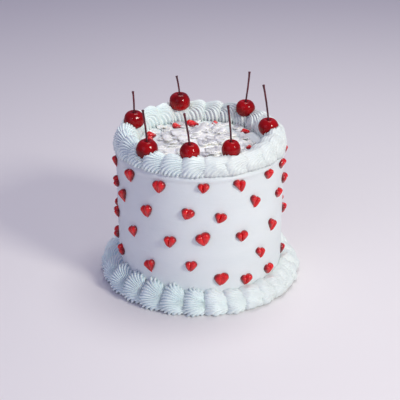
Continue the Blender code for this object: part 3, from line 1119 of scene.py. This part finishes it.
def build_slip(name, seed, length, width, curl, columns=7, rows=3):
    """A thin strip bent round an arc of `curl` radians, with uneven edges."""
    rng = random.Random(seed)
    bend = length / curl
    edge = [rng.uniform(0.65, 1.0) for _ in range(columns)]
    points, faces = [], []
    for level in (-0.5, 0.5):
        depth = bend + level * SLIP_THICKNESS
        for i in range(columns):
            t = i / (columns - 1) - 0.5
            taper = edge[i] * (1.0 - 0.45 * abs(2.0 * t) ** 3)
            for j in range(rows):
                s = j / (rows - 1) - 0.5
                cup = SLIP_CUP * width * (2.0 * s) ** 2
                up = bend - depth * math.cos(t * curl) + cup + SLIP_LIFT
                points.append(Vector((depth * math.sin(t * curl), s * width * taper, up)))
    layer = columns * rows
    for i in range(columns - 1):
        for j in range(rows - 1):
            a = i * rows + j
            faces.append((a, a + 1, a + rows + 1, a + rows))
            faces.append((layer + a, layer + a + rows, layer + a + rows + 1, layer + a + 1))
    rim = [i * rows for i in range(columns)] + [(columns - 1) * rows + 1]
    rim += [i * rows + rows - 1 for i in reversed(range(columns))] + [1]
    for a, b in zip(rim, rim[1:] + rim[:1]):
        faces.append((a, a + layer, b + layer, b))
    slip = new_piece(name, points, faces, white_shaving)
    tidy_mesh(slip.data)
    for face in slip.data.polygons:
        face.use_smooth = abs(face.normal.z) > 0.5
    return slip


slip_family = bpy.data.collections.new("slips")
for number, (length, width, curl) in enumerate(SLIP_KINDS):
    slip = build_slip(f"slip_{number}", 60 + number, length * MM, width * MM, curl)
    slip_family.objects.link(slip)


# %% The mound under the slips
SPREAD_RADIUS = 0.059
SKIRT = 0.0003
MOUND_RINGS = 16
MOUND_SECTORS = 72
MOUND_SHARE = 0.98
MOUND_BUMPS = 0.0009
BUMPS_PER_M = 180.0
MOUND_SINKS = 0.0005
CLEAR_OF_HEART = 0.0045
CLEARING_EDGE = 0.003


def mound_height(share, bumps):
    """Height over the drum's top at this share of the heap's radius; past it, just under it."""
    if share >= 1.0:
        return -SKIRT
    return HEAP_HEIGHT * (1.0 - share**2.6) + bumps * (1.0 - share**6) + SKIRT * (1.0 - share)


def build_mound():
    points = [Vector((0.0, 0.0, DRUM_HEIGHT + HEAP_HEIGHT))]
    for ring in range(1, MOUND_RINGS + 1):
        radius = SPREAD_RADIUS * ring / MOUND_RINGS
        for sector in range(MOUND_SECTORS):
            bearing = 360.0 * sector / MOUND_SECTORS
            bumps = MOUND_BUMPS * noise.noise(at(radius, bearing, 0.0) * BUMPS_PER_M)
            height = mound_height(radius / (MOUND_SHARE * HEAP_RADIUS), bumps)
            points.append(at(radius, bearing, DRUM_HEIGHT + height))
    outer = points[-MOUND_SECTORS:]
    points += [Vector((p.x, p.y, DRUM_HEIGHT - MOUND_SINKS)) for p in outer]
    faces = [(0, 1 + k, 1 + (k + 1) % MOUND_SECTORS) for k in range(MOUND_SECTORS)]
    faces += ring_faces(MOUND_RINGS + 1, MOUND_SECTORS, 1)
    faces.append(list(reversed(range(len(points) - MOUND_SECTORS, len(points)))))
    mound = show(new_piece("shavings_heap", points, faces, white_shaving))
    tidy_mesh(mound.data)
    hearts = [at(distance, bearing, DRUM_HEIGHT) for distance, bearing, _, _ in TOP_HEARTS]
    nearest = [min((v.co - heart).length for heart in hearts) for v in mound.data.vertices]
    clear = [smooth((gap - CLEAR_OF_HEART) / CLEARING_EDGE) for gap in nearest]
    keep_value(mound.data, "spread", clear)
    return mound


mound = build_mound()
print("mound faces", len(mound.data.polygons))


# %% Scatter the slips
FULL_TURN = 6.283
LOOKS_UP = 0.2


def scatter_tree():
    """Slips on the faces that look up, at random turns, together with the mound itself."""
    tree, given = new_tree(
        "Scatter",
        {
            "Per square metre": 9000.0,
            "Tilt": 0.08,
            "Turn": FULL_TURN,
            "Smallest": 0.7,
            "Largest": 1.15,
            "Seed": 4,
        },
        FAMILY_AND_FINISH,
    )
    normal = add_node(tree, "GeometryNodeInputNormal")
    looks_up = add_node(tree, "ShaderNodeSeparateXYZ", {"Vector": normal}).part("Z")
    values = {
        "Mesh": given["Geometry"],
        "Selection": looks_up > LOOKS_UP,
        "Density": read_value(tree, "spread") * given["Per square metre"],
        "Seed": given["Seed"],
    }
    places = add_node(tree, "GeometryNodeDistributePointsOnFaces", values)
    tilt = given["Tilt"]
    low = add_node(tree, "ShaderNodeCombineXYZ", {"X": tilt * -1.0, "Y": tilt * -1.0})
    high = add_node(tree, "ShaderNodeCombineXYZ", {"X": tilt, "Y": tilt, "Z": given["Turn"]})
    turn = random_value(tree, "FLOAT_VECTOR", low, high, Seed=given["Seed"])
    rotation = add_node(tree, "FunctionNodeEulerToRotation", {"Euler": turn})
    size = random_value(tree, "FLOAT", given["Smallest"], given["Largest"])
    slips = place_family(tree, places, given, {"Rotation": rotation, "Scale": size})
    both = add_node(tree, "GeometryNodeJoinGeometry", {"Geometry": slips})
    feed(both.socket.node.inputs[0], given["Geometry"])
    return close_tree(tree, given, both)


shavings_heap = run_tree(mound, scatter_tree(), {"Family": slip_family, "Finish": white_shaving})
print("shavings faces", len(shavings_heap.data.polygons))

# %% [markdown]
# The cherries. A cocktail cherry is squat, a little lumpy, with a dimple for its stem and a faint
# seam down one side. The profile is the solid's, rounded off, then turned and pushed in and out a
# touch by noise so that no two are the same.

# %% Fruit
# Side, distance from the axis, bearing, height of the middle, width, height, and how far the
# stem's tip leans towards +X and -Y and rises.
CHERRIES = (
    ("back_left", 0.0690, -162, 0.1612, 0.0218, 0.0182, -0.0030, -0.0010, 0.0205),
    ("left", 0.0685, -105, 0.1585, 0.0205, 0.0176, -0.0004, 0.0010, 0.0232),
    ("front_left", 0.0730, -43, 0.1545, 0.0208, 0.0190, -0.0030, 0.0015, 0.0325),
    ("front", 0.0680, -8, 0.1578, 0.0188, 0.0170, -0.0050, 0.0020, 0.0318),
    ("front_right", 0.0685, 25, 0.1582, 0.0178, 0.0176, -0.0034, 0.0010, 0.0366),
    ("right", 0.0675, 88, 0.1582, 0.0200, 0.0168, -0.0058, -0.0010, 0.0366),
    ("back_right", 0.0705, 138, 0.1585, 0.0200, 0.0166, 0.0034, 0.0010, 0.0330),
)
# Share of half the width, share of half the height.
FRUIT_OUTLINE = (
    (0.0, 0.80), (0.15, 0.80), (0.28, 0.95), (0.58, 0.97), (0.88, 0.62),
    (1.0, 0.10), (0.88, -0.52), (0.50, -0.90), (0.0, -1.0),
)
FRUIT_SECTORS = 72
BROAD_LUMPS = 0.035
FINE_LUMPS = 0.011
SEAM_DEPTH = 0.03


def rounded(outline, steps=8):
    """A smooth curve through the outline's points."""
    points = [Vector(p) for p in outline]
    before, after = points[1], points[-2]
    ends = [Vector((-before.x, before.y))] + points + [Vector((-after.x, after.y))]
    curve = []
    for a, b, c, d in zip(ends, ends[1:], ends[2:], ends[3:]):
        for step in range(steps):
            t = step / steps
            bent = (2 * a - 5 * b + 4 * c - d) * t**2 + (3 * b - a - 3 * c + d) * t**3
            curve.append(0.5 * (2 * b + (c - a) * t + bent))
    return curve + [points[-1]]


def build_fruit(name, centre, width, height, seed):
    rings = rounded(FRUIT_OUTLINE)
    points = []
    for r, z in rings:
        for sector in range(FRUIT_SECTORS):
            a = 2.0 * math.pi * sector / FRUIT_SECTORS
            x, y = math.cos(a), math.sin(a)
            broad = noise.noise(Vector((x * r, y * r, z + 3.7 * seed)) * 1.3)
            fine = noise.noise(Vector((x * r, y * r, z + 5.1 * seed)) * 6.0)
            from_seam = (a - seed) % (2 * math.pi) - math.pi
            seam = math.exp(-(from_seam**2) / 0.02) * max(r, 0.0)
            lump = 1.0 + BROAD_LUMPS * broad + FINE_LUMPS * fine - SEAM_DEPTH * seam
            out = max(r, 0.0) * width / 2.0 * lump
            points.append(centre + Vector((out * x, out * y, z * height / 2.0)))
    faces = ring_faces(len(rings), FRUIT_SECTORS)
    piece = show(new_piece(name, points, faces, cherry_skin))
    tidy_mesh(piece.data)
    return piece


print("points round a cherry", FRUIT_SECTORS)

# %% [markdown]
# Each cherry is pressed into the soft crown before the cream sets: the cream under it gives way to
# the fruit's own form and wells up a little in a torn collar round it. So the crown's points inside
# a cherry are put down onto its underside, and those just outside are lifted.

# %% Press the cherries in
COLLAR = 0.0016
COLLAR_WIDTH = 0.45
COLLAR_TEARS = 1.3
FRUIT_GAP = 0.0003


def press_in(ring):
    points = np.empty(len(ring.data.vertices) * 3, np.float32)
    ring.data.vertices.foreach_get("co", points)
    points = points.reshape(-1, 3)
    moved = 0
    for _, distance, bearing, middle, width, height, *_ in CHERRIES:
        centre = at(distance, bearing, middle)
        wide, half = width / 2.0 + FRUIT_GAP, height / 2.0
        away = np.hypot(points[:, 0] - centre.x, points[:, 1] - centre.y) / wide
        inside = away < 1.0
        bowl = 1.1 * half * np.sqrt(np.clip(1.0 - away**2, 0.0, 1.0))
        under = middle + 0.1 * half - bowl - FRUIT_GAP
        sunk = inside & (points[:, 2] > under)
        points[sunk, 2] = under[sunk]
        welled = np.clip(1.0 - (away - 1.0) / COLLAR_WIDTH, 0.0, 1.0) * (~inside)
        welled = welled * (points[:, 2] > middle - half)
        near = np.flatnonzero(welled > 0.0)
        torn = np.array([noise.noise(Vector(points[i].tolist()) * 700.0) for i in near])
        points[near, 2] += COLLAR * welled[near] ** 1.5 * (1.0 + COLLAR_TEARS * torn)
        moved += int(sunk.sum())
    ring.data.vertices.foreach_set("co", points.ravel())
    ring.data.update()
    print(ring.name, "points pressed down", moved)


press_in(crown_piping)

# %% [markdown]
# A stem is a thin bent stalk, wider at the scar where it was picked and where it enters the fruit.
# It follows a path, so a small node tree sweeps a circle along the path, with the width given by
# the path's own radius.

# %% Stems
STEM_RADIUS = 0.00085
STEM_BEND = 0.0004
STEM_WOBBLE = 0.00012
STEM_STEPS = 22
STEM_SINKS = 0.0002


def stalk_tree():
    tree, given = new_tree("Stalk", {"Thickness": STEM_RADIUS, "Sides": 12}, {"Finish": "Material"})
    values = {"Resolution": given["Sides"], "Radius": given["Thickness"]}
    values = {
        "Curve": given["Geometry"],
        "Profile Curve": add_node(tree, "GeometryNodeCurvePrimitiveCircle", values),
        "Scale": add_node(tree, "GeometryNodeInputRadius"),
        "Fill Caps": True,
    }
    return close_tree(tree, given, add_node(tree, "GeometryNodeCurveToMesh", values))


def build_stem(name, start, tip, tree):
    path = bpy.data.curves.new(name, "CURVE")
    path.dimensions = "3D"
    spline = path.splines.new("POLY")
    spline.points.add(STEM_STEPS)
    for number, point in enumerate(spline.points):
        share = number / STEM_STEPS
        wobble = noise.noise(Vector((9.0 * share, tip.x * 40.0, 0.0)))
        sway = STEM_BEND * math.sin(math.pi * share) + STEM_WOBBLE * wobble
        point.co = (*(start.lerp(tip, share) + Vector((sway, 0.4 * sway, 0.0))), 1.0)
        scar = 0.45 * math.exp(-(((1.0 - share) / 0.05) ** 2))
        root = 0.15 * math.exp(-((share / 0.06) ** 2))
        point.radius = 1.05 + scar + root + 0.12 * share
    stem = show(bpy.data.objects.new(name, path))
    stem = run_tree(stem, tree, {"Finish": stem_bark})
    tidy_mesh(stem.data)
    return stem


stalk = stalk_tree()
cherries, stems = {}, {}
for seed, (side, distance, bearing, middle, width, height, *lean) in enumerate(CHERRIES):
    centre = at(distance, bearing, middle)
    cherries[side] = build_fruit(f"cherry_fruit_{side}", centre, width, height, seed + 1)
    foot = centre + Vector((0.0, 0.0, 0.4 * height - STEM_SINKS))
    tip = centre + Vector((lean[0], -lean[1], 0.4 * height + lean[2]))
    stems[side] = build_stem(f"cherry_stem_{side}", foot, tip, stalk)
print("cherries", len(cherries), "stems", len(stems))

# %% [markdown]
# Each detailed piece now takes the place of its plain solid, and everything rides on the one body.
# Each entry also gives the material slot that the piece shows, which the loop below does not use.

# %% Join the frame
RIDES = [
    (cream_coat, ("cake",), "coat"),
    (red_hearts, ("cake",), "coat"),
    (foot_piping, ("foot_border",), "piping"),
    (crown_piping, ("crown_border",), "piping"),
    (shavings_heap, ("shavings",), "shavings"),
]
RIDES += [(cherries[side], (f"cherry_{side}",), "cherry") for side in cherries]
RIDES += [(stems[side], (f"stem_{side}",), "stem") for side in stems]
for piece, nodes, slot in RIDES:
    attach(piece, "root")
    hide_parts(*nodes)
print("pieces", len(RIDES))

# %% [markdown]
# The studio: a pale floor, one broad lamp high on the right that brightens that side of the drum, a
# weak cool one from the left, one above, and a dim even sky that keeps the shaded side lilac. Two
# small weak lamps only put glints on the wet cherries and the hearts.

# %% Floor, lamps and sky
FLOOR_REACH = 20
SKY_COLOUR = (0.63, 0.59, 0.94, 1.0)
SKY_STRENGTH = 0.36
# Name, place, height of the point it looks at over the middle, size, power, colour.
LAMPS = (
    ("key_lamp", (1.05, -0.95, 1.0), 0.09, 0.4, 16.2, (1.0, 0.975, 0.89)),
    ("fill_lamp", (-1.0, -1.3, 0.8), 0.08, 1.2, 3.2, (0.72, 0.68, 1.0)),
    ("top_lamp", (0.2, 0.3, 1.4), 0.14, 0.7, 8.2, (1.0, 0.99, 0.95)),
    ("glint_lamp_left", (-0.35, -1.1, 1.0), 0.15, 0.055, 0.4, (1.0, 1.0, 1.0)),
    ("glint_lamp_right", (0.55, -1.4, 0.42), 0.15, 0.055, 0.4, (1.0, 1.0, 1.0)),
)

corners = [(x * FLOOR_REACH, y * FLOOR_REACH, 0) for x, y in ((-1, -1), (1, -1), (1, 1), (-1, 1))]
floor_paint = new_finish("floor_paint", (0.78, 0.76, 0.76), 0.6)
studio_floor = show(new_piece("studio_floor", corners, [(0, 1, 2, 3)], floor_paint))

for name, place, height, size, power, colour in LAMPS:
    lamp = bpy.data.lights.new(name, "AREA")
    lamp.shape = "DISK"
    lamp.size = size
    lamp.energy = power
    lamp.color = colour
    holder = show(bpy.data.objects.new(name, lamp))
    holder.location = place
    look = Vector((0.0, 0.0, height)) - Vector(place)
    holder.rotation_euler = look.to_track_quat("-Z", "Y").to_euler()

sky = bpy.data.worlds.new("sky")
sky.use_nodes = True
sky.node_tree.nodes["Background"].inputs["Color"].default_value = SKY_COLOUR
sky.node_tree.nodes["Background"].inputs["Strength"].default_value = SKY_STRENGTH
bpy.context.scene.world = sky
bpy.context.scene.view_settings.view_transform = "Standard"
print("lamps", len(LAMPS))

# %% [markdown]
# The camera stands in front and a little above, tilted down by about 25 degrees. Its focal length
# is counted in widths of the picture.

# %% Camera
CAMERA_BACK = 0.900
CAMERA_UP = 0.495
CAMERA_PITCH = 0.434
CAMERA_FOCAL = 968.0 / 400.0
SENSOR_WIDTH = 36.0

camera = bpy.data.cameras.new("camera")
camera.sensor_width = SENSOR_WIDTH
camera.lens = SENSOR_WIDTH * CAMERA_FOCAL
camera_holder = show(bpy.data.objects.new("camera", camera))
camera_holder.location = (0.0, -CAMERA_BACK, CAMERA_UP)
camera_holder.rotation_euler = (math.pi / 2.0 - CAMERA_PITCH, 0.0, 0.0)
bpy.context.scene.camera = camera_holder
print("camera lens", round(camera.lens, 2), "mm")
